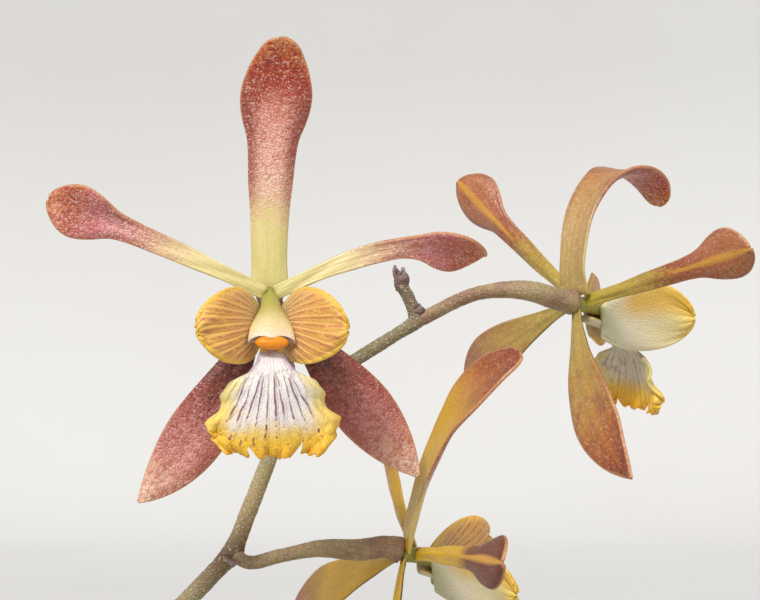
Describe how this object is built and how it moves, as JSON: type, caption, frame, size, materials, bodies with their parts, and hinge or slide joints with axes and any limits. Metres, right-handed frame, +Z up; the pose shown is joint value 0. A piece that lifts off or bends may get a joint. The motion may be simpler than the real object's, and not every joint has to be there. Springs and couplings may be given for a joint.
{
  "type": "potted orchid",
  "caption": "Clay pot of bark with a small tufted orchid: pseudobulbs, strap leaves and one thin zigzag flowering stem of red-brown and yellow blooms.",
  "frame": {"origin": "middle of the pot's underside", "axes": "+Z up along the pot's axis; -Y is the side that the front bloom faces; +X to the right of it"},
  "size_m": [0.1866, 0.1993, 0.3076],
  "materials": {
    "clay": "matt unglazed",
    "bark": "rough",
    "root": "matt",
    "stem": "warty",
    "bulb": "satin",
    "leaf": "satin",
    "pedicel": "satin",
    "tepal": "sparkling satin",
    "lip": "satin",
    "column": "satin",
    "anther": "glossy"
  },
  "bodies": {
    "root": {"pot": "clay", "bark_mix": "bark", "rhizome_and_roots": "root", "flowering_stem": "stem", "pseudobulb_1": "bulb", "pseudobulb_2": "bulb", "pseudobulb_3": "bulb", "pseudobulb_4": "bulb", "leaf_1": "leaf", "leaf_2": "leaf", "leaf_3": "leaf", "leaf_4": "leaf", "leaf_5": "leaf", "leaf_6": "leaf", "leaf_7": "leaf", "front_bloom_pedicel": "pedicel", "front_bloom_dorsal_sepal": "tepal", "front_bloom_left_sepal": "tepal", "front_bloom_right_sepal": "tepal", "front_bloom_left_petal": "tepal", "front_bloom_right_petal": "tepal", "front_bloom_lip": "lip", "front_bloom_column": "column", "front_bloom_anther": "anther", "right_bloom_pedicel": "pedicel", "right_bloom_dorsal_sepal": "tepal", "right_bloom_left_sepal": "tepal", "right_bloom_right_sepal": "tepal", "right_bloom_left_petal": "tepal", "right_bloom_right_petal": "tepal", "right_bloom_lip": "lip", "right_bloom_column": "column", "right_bloom_anther": "anther", "lower_bloom_pedicel": "pedicel", "lower_bloom_dorsal_sepal": "tepal", "lower_bloom_left_sepal": "tepal", "lower_bloom_right_sepal": "tepal", "lower_bloom_left_petal": "tepal", "lower_bloom_right_petal": "tepal", "lower_bloom_lip": "lip", "lower_bloom_column": "column", "lower_bloom_anther": "anther"}
  },
  "joints": []
}
